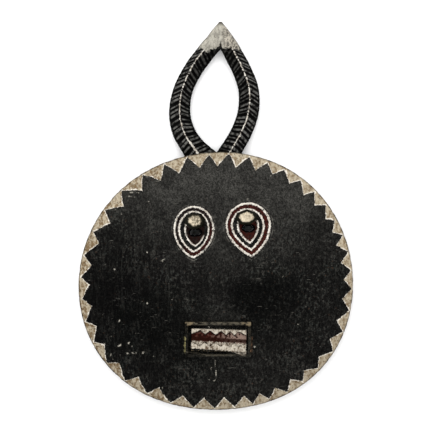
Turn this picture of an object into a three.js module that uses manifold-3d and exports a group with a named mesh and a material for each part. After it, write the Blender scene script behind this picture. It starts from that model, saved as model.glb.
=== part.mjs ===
// Kple kple mask: a domed round face with a toothed rim, two ringed eyes, a framed mouth
// and two barbed horns that meet in one tip. It is carved from one piece of wood, and it lies
// on the flat back of its rim with the face up (+Z) and the horns towards +Y.
// Millimetres. The shapes are worked out about the face's centre and moved at the end, so
// that the origin is below the middle of the whole mask, on the surface it lies on.
import * as THREE from 'three';
import { mergeVertices } from 'three/addons/utils/BufferGeometryUtils.js';
import Module from 'manifold-3d';

// Face: mean radius, and the slow waves of its hand-cut outline as [waves, size, turn in degrees]
const faceRadius = 185.9;
const outlineWaves = [[2, 5.93, 5.6], [3, 1.65, -39.0], [4, 1.23, -43.6]];
const rimHeight = 26;
const domeRise = 34;
const domePower = 2.2;
const wallThickness = 13;
const domeShares = [0.855, 0.8, 0.73, 0.64, 0.53, 0.41, 0.28, 0.14];
// Side of the rim: share of the outline and height of each turn, from the flat back up to the teeth
const backFlat = { outer: 0.975, inner: 0.895 };
const sideFoot = { share: 0.985, height: 2 };
const sideTop = { share: 0.996, round: 1.4 };
// Hollow behind the face: the foot of its wall, then the underside of the dome
const hollowWall = { share: 0.875, height: 12 };
const hollowShares = [0.835, 0.74, 0.64, 0.53, 0.41, 0.28, 0.14];

// Rim teeth: pale three-sided chips cut down into the dark face, points inward
const toothCount = 39;
const toothStart = -3.25;
// Slow waves round the rim as [waves, size, phase in degrees]: the turn of each tooth in degrees, the
// share of the way out where it ends, and the turn and share of the dark points between
const toothDrift = [[1, 8.0, 77], [2, 0.92, 21], [3, 1.53, -78], [4, 1.31, 8], [14, 0.43, 91]];
const toothPoint = {
  share: 0.909,
  waves: [[1, 0.0112, 40], [2, 0.0119, -32], [3, 0.0043, 154], [10, 0.0055, 5]],
};
const darkTurn = { degrees: 0.59, waves: [[1, 0.53, 171], [2, 0.78, -40], [4, 0.62, 145]] };
const darkPoint = {
  share: 0.985,
  most: 0.99,
  waves: [[3, 0.0058, 10], [9, 0.0036, -97], [14, 0.0035, 157]],
};
const toothCutDepth = 1.8;
const toothWallLean = 0.004;
const rimEdgeDrop = 0.8;

// Eyes: half width, rise above and drop below the widest line, how pointed the drop is, how wide the
// rings are spaced, and at each of the three rings [distance in, sideways drift, further drift at the point]
const eyes = [
  { x: -30.9, y: 73.6, half: 28.1, up: 31.9, down: 40.1, point: 0.77, ringScale: 1,
    drift: [[0, 0, -1.0], [7.9, -0.2, 0.4], [14.5, 1.8, 0]],
    knob: { x: -30.8, y: 84.2, rx: 12.4, ry: 10.5 }, hole: { x: -28.7, y: 69.3, rx: 7.8, ry: 4.8 } },
  { x: 43.9, y: 78.5, half: 31.2, up: 31.9, down: 44.0, point: 0.93, ringScale: 1.19,
    drift: [[0, 0, 4.4], [7.9, -1.0, 5.1], [14.5, -0.5, 2.6]],
    knob: { x: 41.7, y: 89.6, rx: 13.1, ry: 10.7 }, hole: { x: 43.9, y: 75.2, rx: 7.6, ry: 4.8 } },
];
// Each step is [distance in from the eye's outline, height above the face]
const eyeSteps = [
  [0, -7], [0, 0.4], [1.3, 3.4], [3.3, 1.4], [5.6, 1.6],
  [7.9, 5.4], [10.1, 3.4], [12.2, 3.6], [14.5, 6.4], [16.9, 1.2],
];
const eyePointStretch = 1.2;
const knobRise = 17;
const knobProfile = [[1.08, -10], [1.06, 0], [1.0, 9], [0.95, 14.6], [0.76, knobRise]];
const sightHoleRun = [[1, -40], [1, 40]];

// Mouth: a raised block with a flat front, a sunk channel and a plate with two rows of teeth
const mouth = { left: -43.1, right: 47.6, top: -53.1, bottom: -101.7, front: 65, root: 44 };
const mouthBars = { side: 4.2, top: 5.2, bottom: 4.0 };
const mouthFloor = 55.5;
const plate = { left: -34.8, right: 42.0, top: -64.4, bottom: -94.6, front: 59.2 };
const plateTurn = -1.8;
const toothRowFront = 62.4;
const mouthNotches = [-22.6, -8.8, 6.3, 18.6, 30.0];
const upperRow = { notch: -66.8, point: -72.6 };
const lowerRow = { notch: -87.4, point: -81.6 };
const mouthLean = 0.02;

// Horns: centre line and half width, from inside the rim up to the shared tip
const hornLines = [
  [[-11.7, 162, 22.2], [-32.8, 188, 16.5], [-46.3, 211, 15.7], [-51.2, 238, 14.8], [-46.1, 268, 13.5],
    [-32.1, 296, 13.1], [-17.3, 316, 13.1], [-5.7, 331, 12.6], [-1.3, 346, 6.8], [5.1, 361.9, 1.1]],
  [[8.1, 162, 17.7], [23.3, 188, 14.8], [36.0, 211, 14.6], [44.7, 238, 14.7], [44.7, 268, 14.2],
    [34.9, 296, 13.2], [24.1, 316, 13.0], [16.7, 331, 12.0], [12.2, 346, 6.7], [6.5, 361.9, 1.1]],
];
const hornBack = 3;
const hornEdge = 12.5;
const hornCrest = 24;
const hornMiddle = 14;
const hornRoofPower = 1.5;
const hornBackShare = 0.72;
const hornAcross = [-1, -0.55, -0.1, 0.1, 0.55, 1];
const tipDepth = { least: 0.45, fullFromHalfWidth: 12 };
const barbPitch = 6.7;
const barbDepth = 1.5;
const barbLean = 7.5;
const barbsFrom = 16;
const capLength = 40;
const capRings = 6;
const capOverlap = 3;
const capOverlapRun = [-6, 8];

const rad = THREE.MathUtils.degToRad;
const wasm = await Module();
wasm.setup();

// Distance from the centre to the outline at an angle
function outlineRadius(angle) {
  const wave = ([waves, size, turn]) => size * Math.cos(waves * (angle - rad(turn)));
  return outlineWaves.reduce((sum, each) => sum + wave(each), faceRadius);
}

// A value that drifts in slow waves from tooth to tooth
function roundTheRim(start, list, index) {
  const turn = (2 * Math.PI * index) / toothCount;
  return list.reduce((sum, [waves, size, phase]) => sum + size * Math.cos(waves * turn + rad(phase)), start);
}

// Height of the domed face at a share of the way out to the outline
function domeHeight(share) {
  return rimHeight + domeRise * (1 - share ** domePower);
}

function faceHeight(x, y) {
  return domeHeight(Math.hypot(x, y) / outlineRadius(Math.atan2(y, x)));
}

function onFace(angle, share, z) {
  const radius = share * outlineRadius(angle);
  return new THREE.Vector3(radius * Math.cos(angle), radius * Math.sin(angle), z);
}

// Angle of the inner point of one rim tooth: even steps plus the drift of hand work
function toothAngle(index) {
  return (2 * Math.PI * index) / toothCount + rad(roundTheRim(toothStart, toothDrift, index));
}

// Closed body from a stack of rings with equal counts, bottom first, each counter-clockwise from above
function stackSolid(rings) {
  const count = rings[0].length;
  const points = rings.flat();
  const triangles = [];
  const middle = (ring) => ring
    .reduce((sum, point) => sum.add(point), new THREE.Vector3())
    .divideScalar(ring.length);
  const low = points.push(middle(rings[0])) - 1;
  const high = points.push(middle(rings.at(-1))) - 1;
  for (let j = 0; j < count; j += 1) {
    const next = (j + 1) % count;
    const last = (rings.length - 1) * count;
    triangles.push(low, next, j, high, last + j, last + next);
    for (let i = 0; i + 1 < rings.length; i += 1) {
      const a = i * count + j;
      const b = i * count + next;
      triangles.push(a, b, b + count, a, b + count, a + count);
    }
  }
  const geometry = new THREE.BufferGeometry().setFromPoints(points);
  geometry.setIndex(triangles);
  return toSolid(geometry);
}

function toSolid(geometry) {
  geometry.deleteAttribute('normal');
  geometry.deleteAttribute('uv');
  const merged = mergeVertices(geometry, 1e-4);
  return new wasm.Manifold(new wasm.Mesh({
    numProp: 3,
    vertProperties: new Float32Array(merged.attributes.position.array),
    triVerts: new Uint32Array(merged.index.array),
  }));
}

function boxSolid(left, right, bottom, top, low, high) {
  const box = new THREE.BoxGeometry(right - left, top - bottom, high - low);
  return toSolid(box.translate((left + right) / 2, (bottom + top) / 2, (low + high) / 2));
}

// The face as one solid disc: flat back, leaning side, cut rim teeth and the dome
function faceSolid() {
  const columns = Array.from({ length: 2 * toothCount }, (_, j) => {
    const index = Math.floor(j / 2);
    const here = toothAngle(index);
    if (j % 2 === 0) return { angle: here, share: roundTheRim(toothPoint.share, toothPoint.waves, index) };
    const turn = rad(roundTheRim(darkTurn.degrees, darkTurn.waves, index));
    const share = Math.min(roundTheRim(darkPoint.share, darkPoint.waves, index), darkPoint.most);
    return { angle: (here + toothAngle(index + 1)) / 2 + turn, share };
  });
  const ring = (share, z) => columns.map(({ angle }) => onFace(angle, share, z));
  const rimTop = domeHeight(1) - rimEdgeDrop;
  const cutFloor = (share) => Math.max(domeHeight(share) - toothCutDepth, rimTop);
  return stackSolid([
    ring(backFlat.outer, 0),
    ring(sideFoot.share, sideFoot.height),
    ring(1, rimTop - sideTop.round),
    ring(sideTop.share, rimTop),
    columns.map(({ angle, share }) => onFace(angle, share + toothWallLean, cutFloor(share))),
    columns.map(({ angle, share }) => onFace(angle, share, domeHeight(share))),
    ...domeShares.map((share) => ring(share, domeHeight(share))),
  ]);
}

// The space behind the face, to be cut away: it follows the dome at one wall's thickness
function hollowSolid() {
  const angles = Array.from({ length: toothCount }, (_, j) => (2 * Math.PI * j) / toothCount);
  const ring = (share, z) => angles.map((angle) => onFace(angle, share, z));
  return stackSolid([
    ring(backFlat.inner, -5),
    ring(backFlat.inner, 0),
    ring(hollowWall.share, hollowWall.height),
    ...hollowShares.map((share) => ring(share, domeHeight(share) - wallThickness)),
  ]);
}

// The eye's sideways drift and the drift at its point, between the listed rings
function eyeDrift(eye, inset) {
  const from = inset < eye.drift[1][0] ? 0 : 1;
  const [a, b] = eye.drift.slice(from, from + 2);
  const t = THREE.MathUtils.clamp((inset - a[0]) / (b[0] - a[0]), 0, 1);
  return [THREE.MathUtils.lerp(a[1], b[1], t), THREE.MathUtils.lerp(a[2], b[2], t)];
}

// One closed line of an eye, moved in from its outline: round above, drawn to a point below
function eyeLine(eye, inset, count = 36) {
  const [sideDrift, pointDrift] = eyeDrift(eye, inset);
  const moved = inset * eye.ringScale;
  return Array.from({ length: count }, (_, j) => {
    const turn = (2 * Math.PI * j) / count;
    const side = Math.cos(turn);
    const rise = Math.sin(turn);
    const x = eye.x + sideDrift;
    const half = eye.half - moved;
    if (rise >= 0) return [x + half * side, eye.y + (eye.up - moved) * rise];
    const width = Math.sign(side) * Math.abs(side) ** (2 * eye.point);
    const drop = (eye.down - eyePointStretch * moved) * rise;
    return [x + half * width + pointDrift * rise ** 2, eye.y + drop];
  });
}

function eyeSolid(eye) {
  return stackSolid(eyeSteps.map(([inset, height]) => eyeLine(eye, inset)
    .map(([x, y]) => new THREE.Vector3(x, y, faceHeight(x, y) + height))));
}

function ellipseSolid({ x, y, rx, ry }, profile, base, count = 20) {
  return stackSolid(profile.map(([scale, height]) => Array.from({ length: count }, (_, j) => {
    const turn = (2 * Math.PI * (j + 0.5)) / count;
    const side = scale * rx * Math.cos(turn);
    const rise = scale * ry * Math.sin(turn);
    return new THREE.Vector3(x + side, y + rise, base + height);
  })));
}

// A plate of one tooth row: straight on its outer side, zigzag on the side towards the other row
function toothRowSolid(outerY, { notch, point }) {
  const edge = mouthNotches.flatMap((x, i) => {
    const before = i === 0 ? plate.left : (mouthNotches[i - 1] + x) / 2;
    return [new THREE.Vector2(before, point), new THREE.Vector2(x, notch)];
  });
  edge.push(new THREE.Vector2(plate.right, point));
  const outer = [plate.left, plate.right].map((x) => new THREE.Vector2(x, outerY));
  const outline = new THREE.Shape([outer[0], ...edge, outer[1]]);
  const row = new THREE.ExtrudeGeometry(outline, { depth: toothRowFront - mouthFloor, bevelEnabled: false });
  return toSolid(row.translate(0, 0, mouthFloor));
}

function mouthSolid() {
  const blockRing = (z) => {
    const grow = mouthLean * (mouth.front - z);
    const left = mouth.left - grow;
    const right = mouth.right + grow;
    const bottom = mouth.bottom - grow;
    const top = mouth.top + grow;
    return [[left, bottom], [right, bottom], [right, top], [left, top]]
      .map(([x, y]) => new THREE.Vector3(x, y, z));
  };
  const block = stackSolid([blockRing(mouth.root), blockRing(mouth.front)]);
  const pocket = boxSolid(mouth.left + mouthBars.side, mouth.right - mouthBars.side,
    mouth.bottom + mouthBars.bottom, mouth.top - mouthBars.top, mouthFloor, mouth.front + 5);
  const back = boxSolid(plate.left, plate.right, plate.bottom, plate.top, mouthFloor - 4, plate.front);
  const x = (plate.left + plate.right) / 2;
  const y = (plate.bottom + plate.top) / 2;
  const inside = [back, toothRowSolid(plate.top, upperRow), toothRowSolid(plate.bottom, lowerRow)]
    .map((piece) => piece.translate([-x, -y, 0]).rotate([0, 0, plateTurn]).translate([x, y, 0]));
  return { block, pocket, inside };
}

// One horn: rings across it that lean back from the spine, every second one cut in between two barbs.
// Its inner side is the share 1 or -1 across, and reaches a little into the other horn at the tip.
function hornSolid(line, inner) {
  const points = line.map((p) => new THREE.Vector3(...p));
  const curve = new THREE.CatmullRomCurve3(points, false, 'catmullrom', 0.5);
  curve.arcLengthDivisions = 400;
  const length = curve.getLength();
  const barbsTo = length - capLength;
  const barbCount = Math.round((barbsTo - barbsFrom) / barbPitch);
  const pitch = (barbsTo - barbsFrom) / barbCount;
  const stations = [{ at: barbLean, cut: 0 }, { at: (barbLean + barbsFrom) / 2, cut: 0 }];
  for (let i = 0; i <= 2 * barbCount; i += 1) {
    stations.push({ at: barbsFrom + (i * pitch) / 2, cut: i % 2 });
  }
  for (let i = 1; i <= capRings; i += 1) {
    stations.push({ at: barbsTo + (capLength * i) / capRings, cut: 0 });
  }
  const [joinFrom, joinTo] = capOverlapRun.map((run) => barbsTo + run);
  const place = (at, share, z, lean) => {
    const t = Math.min(Math.max((at - lean * Math.abs(share)) / length, 0), 1);
    const centre = curve.getPointAt(t);
    const along = curve.getTangentAt(t).setZ(0).normalize();
    const fullness = Math.min(1, centre.z / tipDepth.fullFromHalfWidth);
    const squeeze = THREE.MathUtils.lerp(tipDepth.least, 1, fullness);
    const joined = share * inner > 0 ? capOverlap * THREE.MathUtils.smoothstep(at, joinFrom, joinTo) : 0;
    const offset = (centre.z + joined) * share;
    return new THREE.Vector3(centre.x + along.y * offset, centre.y - along.x * offset,
      hornMiddle + (z - hornMiddle) * squeeze);
  };
  const rings = stations.map(({ at, cut }) => {
    const lean = barbLean * Math.min(1, (length - at) / capLength);
    const front = hornAcross.map((share) => {
      const roof = hornEdge + (hornCrest - hornEdge) * (1 - Math.abs(share) ** hornRoofPower);
      const depth = Math.abs(share) > 0.2 ? cut * barbDepth : 0;
      return place(at, share, roof - depth, lean);
    });
    const back = [hornBackShare, -hornBackShare].map((share) => place(at, share, hornBack, lean));
    return [...front, ...back].reverse();
  });
  return stackSolid(rings.reverse());
}

function maskGeometry() {
  const horns = hornLines.map((line, i) => hornSolid(line, i === 0 ? 1 : -1));
  const { block, pocket, inside } = mouthSolid();
  let solid = horns.reduce((sum, horn) => sum.add(horn), faceSolid());
  solid = solid.add(block).subtract(hollowSolid());
  for (const eye of eyes) {
    const { knob, hole } = eye;
    solid = solid.add(eyeSolid(eye));
    solid = solid.subtract(ellipseSolid(hole, sightHoleRun, faceHeight(eye.x, eye.y)));
    solid = solid.add(ellipseSolid(knob, knobProfile, faceHeight(knob.x, knob.y)));
  }
  solid = inside.reduce((sum, piece) => sum.add(piece), solid.subtract(pocket));
  const { vertProperties, triVerts } = solid.getMesh();
  const geometry = new THREE.BufferGeometry();
  geometry.setAttribute('position', new THREE.BufferAttribute(new Float32Array(vertProperties), 3));
  geometry.setIndex(new THREE.BufferAttribute(new Uint32Array(triVerts), 1));
  geometry.computeBoundingBox();
  const { min, max } = geometry.boundingBox;
  geometry.translate(-(min.x + max.x) / 2, -(min.y + max.y) / 2, -min.z);
  geometry.computeVertexNormals();
  return geometry;
}

const wood = new THREE.MeshStandardMaterial({ color: 0x1f1e1b, roughness: 0.7, metalness: 0 });
const mask = new THREE.Mesh(maskGeometry(), wood);
mask.name = 'mask';

const part = new THREE.Group();
part.add(mask);

export default part;
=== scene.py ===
# Kple kple mask: one carved and painted piece of wood, lying face up.
# Shapes are worked out in millimetres about the middle of the round face, then placed in the frame.
import math
import bpy
import numpy as np
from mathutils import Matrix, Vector
from mathutils.geometry import delaunay_2d_cdt


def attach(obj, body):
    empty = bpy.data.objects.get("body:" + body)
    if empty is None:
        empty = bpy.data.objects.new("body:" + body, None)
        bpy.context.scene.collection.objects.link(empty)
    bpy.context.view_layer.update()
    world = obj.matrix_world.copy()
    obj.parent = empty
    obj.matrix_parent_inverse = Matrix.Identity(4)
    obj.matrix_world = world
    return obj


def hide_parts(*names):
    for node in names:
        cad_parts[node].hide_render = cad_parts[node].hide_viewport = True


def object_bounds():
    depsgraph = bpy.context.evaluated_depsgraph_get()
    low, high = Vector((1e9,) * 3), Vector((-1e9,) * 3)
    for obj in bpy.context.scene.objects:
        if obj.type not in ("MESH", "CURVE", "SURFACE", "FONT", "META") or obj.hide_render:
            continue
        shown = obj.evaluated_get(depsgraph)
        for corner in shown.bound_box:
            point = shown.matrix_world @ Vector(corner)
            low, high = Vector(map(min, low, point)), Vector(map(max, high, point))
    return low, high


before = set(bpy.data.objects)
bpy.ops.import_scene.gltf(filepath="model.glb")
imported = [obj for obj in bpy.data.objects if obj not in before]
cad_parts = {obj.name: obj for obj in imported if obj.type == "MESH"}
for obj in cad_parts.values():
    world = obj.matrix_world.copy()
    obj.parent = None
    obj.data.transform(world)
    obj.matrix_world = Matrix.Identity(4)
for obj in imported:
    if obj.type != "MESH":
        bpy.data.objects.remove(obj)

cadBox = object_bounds()
rad = math.radians

faceShape = {
    "radius": 185.9,
    "outlineWaves": [(2, 5.93, 5.6), (3, 1.65, -39.0), (4, 1.23, -43.6)],  # waves, size, turn in degrees
    "rimHeight": 26.0,
    "domeRise": 34.0,
    "domePower": 2.2,
    "fieldShare": 0.852,      # where the toothed band starts
    "fieldSpacing": 2.35,
    "scuffSpacing": 0.8,
    "square": (-200, 200, -200, 200),   # left, right, bottom, top of the place that points fill
    "handSwell": 0.45,        # slow unevenness of the carved face
    "toolMarks": 0.14,
}

# scuffs that bare the pale wood: x, y, half length, half width, turn in degrees, how pale
scuffs = [
    (-95.4, 41.5, 1.3, 1.2, 0, 1.0), (-73.5, 31.5, 3.6, 0.8, 24, 0.9), (-140.1, 18.7, 1.4, 1.1, 0, 1.0),
    (-93.4, 111.9, 1.4, 0.9, 30, 0.8), (-107.2, 86.8, 1.2, 0.9, 0, 0.35), (-60.7, -22.9, 1.2, 0.9, 0, 0.5),
    (-94.9, -27.7, 1.6, 1.1, 10, 0.65), (-103.0, -26.0, 3.2, 0.7, -12, 0.35),
    (-156.9, -43.9, 1.7, 0.6, 80, 0.5), (-134.0, -52.4, 2.4, 0.9, 80, 1.0),
    (-110.6, -69.2, 1.2, 0.6, 0, 0.35), (-145.8, -74.5, 1.1, 0.8, 0, 0.5),
    (-134.0, -87.6, 3.8, 1.2, 37, 1.0), (-135.8, -91.6, 1.5, 0.7, 10, 0.5),
    (-121.2, -83.8, 2.4, 0.8, 50, 0.85), (-116.9, -88.4, 1.1, 0.6, 0, 0.5),
    (-122.7, -98.2, 1.8, 1.0, 12, 0.85), (-115.4, -97.4, 2.6, 0.9, -12, 0.6),
    (-110.9, -97.0, 1.8, 0.7, 60, 0.65), (-101.0, -97.0, 2.5, 1.6, 65, 0.6),
    (-86.9, -101.7, 1.4, 0.7, 80, 0.4), (-147.0, -101.1, 2.8, 0.8, 10, 0.6),
    (-141.7, -106.3, 2.5, 0.7, -5, 0.7), (-74.0, -145.9, 2.6, 1.3, 10, 0.7),
    (112.1, -56.9, 1.3, 0.8, -20, 0.7), (115.5, -59.0, 2.2, 0.6, -35, 0.4),
    (147.8, -25.7, 1.2, 0.8, 0, 0.35), (146.5, -8.7, 1.2, 0.8, 40, 0.35), (91.0, 8.5, 1.6, 1.1, 30, 0.4),
    (42.3, 115.0, 2.4, 0.8, -20, 0.55), (75.6, 147.0, 1.2, 0.9, 0, 0.6), (84.0, -44.5, 15.0, 0.5, -2, 0.22),
    (-1.7, -111.0, 6.0, 0.7, 88, 0.75), (-0.6, -125.5, 6.5, 0.8, 95, 0.85),
    (-2.6, -134.6, 2.8, 0.9, 28, 0.75), (-7.0, -118.7, 3.4, 0.7, 75, 0.5),
    (-10.8, -133.9, 2.4, 0.7, -40, 0.5), (14.4, -109.3, 1.7, 0.8, 0, 0.35),
    (-117.3, 124.2, 4.4, 1.2, 36, 0.85), (-110.6, 123.6, 3.6, 0.9, 34, 0.85),
    (-121.0, 118.9, 2.3, 0.9, 20, 0.6), (-113.0, 118.4, 3.4, 0.6, 40, 0.35),
    (-131.2, 94.3, 4.2, 0.8, 32, 0.35), (-140.4, 99.4, 3.2, 0.8, 30, 0.5),
    (-136.3, 88.0, 4.4, 0.9, 45, 0.4), (-81.0, 139.4, 5.4, 1.2, 16, 0.5),
    (-96.0, 145.6, 3.2, 1.6, -30, 0.4), (-63.1, 93.1, 3.2, 0.9, 80, 0.35),
    (-57.0, 108.0, 6.0, 0.6, 22, 0.3), (-10.1, -60.4, 1.8, 1.4, 0, 1.0), (52.4, -88.0, 2.0, 0.9, 80, 0.9),
]

# where dust has settled on the black, and painted sheen that makes the upper face lighter: x, y, reach, how
# much
dustAndSheenPatches = [
    (0, 165, 75, 0.72),
    (-85, 135, 42, 0.36),
    (95, 130, 50, 0.62),
    (105, 60, 36, 0.04),
    (10, 75, 40, 0.22),
    (5, -50, 18, 0.34),
    (-130, -20, 60, -0.10),
    (40, -20, 28, -0.15),
    (85, -5, 30, -0.09),
    (-70, -80, 35, -0.05),
    (10, -125, 40, 0.06),
    (70, -130, 40, 0.08),
]

# each list of waves holds how many go round the rim, their size and their turn in degrees
toothShape = {
    "count": 39,
    "start": -3.25,
    "drift": [(1, 8.0, 77), (2, 0.92, 21), (3, 1.53, -78), (4, 1.31, 8), (14, 0.43, 91)],
    "point": 0.909,
    "pointWaves": [(1, 0.0112, 40), (2, 0.0119, -32), (3, 0.0043, 154), (10, 0.0055, 5)],
    "darkTurn": 0.59,
    "darkTurnWaves": [(1, 0.53, 171), (2, 0.78, -40), (4, 0.62, 145)],
    "dark": 0.985,
    "darkWaves": [(3, 0.0058, 10), (9, 0.0036, -97), (14, 0.0035, 157)],
    "darkMost": 0.99,
    "cut": 1.8,
    "cutWidth": 0.0036,       # this and the next two as shares of the way to the outline
    "cutEnd": 0.9925,
    "floorEnd": 0.9955,
    "edgeDrop": 0.8,
    "columns": 9,             # grid columns in half a tooth
}

backShape = {
    "wallShare": [0.835, 0.875, 0.895],
    "wallHeight": [24.1, 12.0, 0.0],
    "wallRows": [0.885, 0.875, 0.862, 0.848, 0.835, 0.82],
    "wallColumns": 314,
    "thickness": 13.0,
    "spacing": 4.4,
    "adzeLength": 34.0,
    "adzeWidth": 15.0,
    "adzeDepth": 0.9,
}

# side and tip say how far each of an eye's three rings drifts to the right, and further at its lower point;
# knob, hole and facet are ellipses: x, y, half width, half height
eyeShapes = [
    {"x": -30.9, "y": 73.6, "half": 28.1, "up": 31.9, "down": 40.1, "point": 0.77, "ringScale": 1.0,
     "side": [0.0, -0.2, 1.8], "tip": [-1.0, 0.4, 0.0], "knob": (-30.8, 84.2, 12.4, 10.5),
     "hole": (-28.7, 69.3, 7.8, 4.8), "facet": (-29.9, 85.4, 8.3, 6.8), "facetTurn": 30},
    {"x": 43.9, "y": 78.5, "half": 31.2, "up": 31.9, "down": 44.0, "point": 0.93, "ringScale": 1.19,
     "side": [0.0, -1.0, -0.5], "tip": [4.4, 5.1, 2.6], "knob": (41.7, 89.6, 13.1, 10.7),
     "hole": (43.9, 75.2, 7.6, 4.8), "facet": (41.0, 90.0, 8.9, 5.9), "facetTurn": 12},
]

eyeProfile = {
    "rings": [0.0, 7.9, 14.5],
    "inset": [-3.5, -1.5, -0.9, -0.3, 0.0, 1.3, 3.3, 5.6, 7.9, 10.1, 12.2, 14.5, 16.9, 20.0, 40.0],
    "height": [0.0, 0.0, -0.6, -0.2, 0.4, 3.4, 1.4, 1.6, 5.4, 3.4, 3.6, 6.4, 1.2, 0.2, 0.0],
    "rows": [-3.4, -2.3, -1.5, -0.9, -0.4, 0.0, 0.4, 0.8, 1.1, 1.4, 1.8, 2.4, 3.0, 3.6, 4.5, 5.4, 6.0,
             6.6, 7.1, 7.5, 7.8, 8.1, 8.5, 9.1, 9.7, 10.3, 11.2, 12.1, 12.9, 13.5, 14.1, 14.5, 14.9, 15.4,
             16.0, 16.6, 17.3],
    "round": 0.28,
    "stretch": 1.2,
    "spacing": 0.95,
    "holeSpacing": 0.9,
    "holeEdge": ([1.0, 1.1, 1.3], [1.6, 0.5, 0.0]),   # shares of the hole's size, and how far worn down
    "knobScale": [1.08, 1.06, 1.045, 1.03, 1.01, 0.985, 0.95, 0.88, 0.8, 0.6, 0.0],
    "knobHeight": [-2.0, 1.0, 4.0, 7.0, 10.0, 12.6, 14.6, 16.0, 16.7, 17.0, 17.4],
    "knobRows": [1.13, 1.08, 1.06, 1.045, 1.03, 1.01, 0.985, 0.95, 0.915, 0.88, 0.84, 0.8, 0.74, 0.68,
                 0.6, 0.5, 0.4, 0.3, 0.2, 0.1],
}

knobFacets = {"count": 7, "slope": 1.1, "tilt": 0.10, "lower": 0.6}

mouthShape = {
    "outer": (-43.1, 47.6, -101.7, -53.1),    # left, right, bottom, top
    "inner": (-38.9, 43.4, -97.7, -58.3),
    "plate": (-34.8, 41.2, -94.6, -63.4),
    "plateTurn": -1.8,
    "front": 65.0,
    "floor": 55.5,
    "plateFront": 59.2,
    "teethFront": 62.4,
    "notches": [-22.6, -8.8, 6.3, 18.6, 30.0],
    "upper": (-71.2, -65.7),                  # points, notches
    "lower": (-81.6, -87.4),
    "rowSlope": 7.0,                          # half the usual distance between notches
    "corner": 1.4,
    "pocketCorner": 0.6,
    "plateCorner": 0.8,
    # each edge as distances in from it, and how much of the whole step is made there
    "wallStep": ([-0.2, 0.1, 0.5, 1.0, 1.6], [0, 0.93, 0.97, 0.992, 1.0]),
    "pocketStep": ([-1.4, -0.8, -0.35, 0, 0.35, 0.9], [0, 0.02, 0.06, 0.15, 0.93, 1.0]),
    "plateStep": ([-0.4, -0.1, 0.25, 0.8, 1.5], [0, 0.1, 0.8, 0.95, 1.0]),
    "toothStep": ([-0.6, -0.2, 0.25, 0.8], [0, 0.12, 0.9, 1.0]),
    "silted": 0.62,                           # how far the groove is filled at the lower right
    "spacing": 1.1,
    "plateSpacing": 1.0,
    "toothSpacing": 0.8,
}

hornShape = {
    # x, y and half width along the middle line of each horn
    "lines": [
        [(-11.7, 162, 22.2), (-32.8, 188, 16.5), (-46.3, 211, 15.7), (-51.2, 238, 14.8), (-46.1, 268, 13.5),
         (-32.1, 296, 13.1), (-17.5, 316.1, 12.8), (-6.2, 331.2, 12.1), (-1.3, 346, 6.8), (5.1, 361.9, 1.1)],
        [(8.1, 162, 17.7), (23.3, 188, 14.8), (36.0, 211, 14.6), (44.7, 238, 14.7), (44.7, 268, 14.2),
         (34.9, 296, 13.2), (24.3, 316.1, 12.8), (17.1, 331.1, 11.5), (12.2, 346, 6.7), (6.5, 361.9, 1.1)],
    ],
    "spine": [-0.30, 0.14],   # how far off the middle the crest runs below the cap
    "back": 3.0,
    "edge": 12.5,
    "crest": 24.0,
    "middle": 14.0,
    "roofPower": 1.5,
    "barbPitch": 6.7,
    "barbDepth": 1.6,
    "barbLean": ([180, 215, 260, 310], [3.5, 4.5, 9.0, 13.0], [4.0, 5.0, 8.0, 8.0]),  # at y: outer, inner
    "barbsFrom": 16.0,
    "footShare": 0.91,        # how far out on the face the horns' buried feet stay
    "capLength": 40.0,
    "capOverlap": 3.4,
    # x and y of the pale cap's lower edge
    "capLine": ([-22, -11.5, -7.5, 3, 6, 9, 33], [325.4, 319, 323.5, 325.6, 329, 326, 323.2]),
}


def waves(x, y, size, seed):
    # sum of plane waves with random headings and phases and lengths near size, mostly between -1 and 1
    count = 9
    rng = np.random.default_rng(seed)
    heading = rng.uniform(0, 2 * np.pi, count)
    length = size * rng.uniform(0.6, 1.6, count)
    phase = rng.uniform(0, 2 * np.pi, count)
    total = 0.0
    for a, l, p in zip(heading, length, phase):
        total = total + np.sin(2 * np.pi * (x * np.cos(a) + y * np.sin(a)) / l + p)
    return total / math.sqrt(count)


def smoothStep(low, high, value):
    t = np.clip((value - low) / (high - low), 0, 1)
    return t * t * (3 - 2 * t)


def outlineRadius(angle):
    # mean radius plus a few slow cosines of the angle
    total = faceShape["radius"]
    for count, size, turn in faceShape["outlineWaves"]:
        total = total + size * np.cos(count * (angle - rad(turn)))
    return total


def shareOf(x, y):
    # how far out a point lies, as a share of the way to the outline
    return np.hypot(x, y) / outlineRadius(np.arctan2(y, x))


def circuit(turn, share):
    # points round the face at a share of the way out
    radius = share * outlineRadius(turn)
    return np.stack([radius * np.cos(turn), radius * np.sin(turn)], 1)


def domeHeight(share):
    # rim height plus a rise that falls off with a power of the way out
    return faceShape["rimHeight"] + faceShape["domeRise"] * (1 - share ** faceShape["domePower"])


def roundTheRim(start, waveList, index):
    # a value that drifts in slow waves from tooth to tooth
    turn = 2 * np.pi * index / toothShape["count"]
    return start + sum(size * np.cos(count * turn + rad(phase)) for count, size, phase in waveList)


def toothAngle(index):
    # even steps plus the drift of hand work, in radians
    t = toothShape
    return 2 * np.pi * index / t["count"] + np.radians(roundTheRim(t["start"], t["drift"], index))


def rimColumns(atPoints, atDarks, wholeTurn=0.0):
    # values at tooth points and at the dark points between, spread evenly over the grid columns
    t = toothShape
    knots = np.append(np.stack([atPoints, atDarks], 1).ravel(), atPoints[0] + wholeTurn)
    at = np.arange(2 * t["count"] * t["columns"]) / t["columns"]
    return np.interp(at, np.arange(len(knots)), knots)


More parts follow.
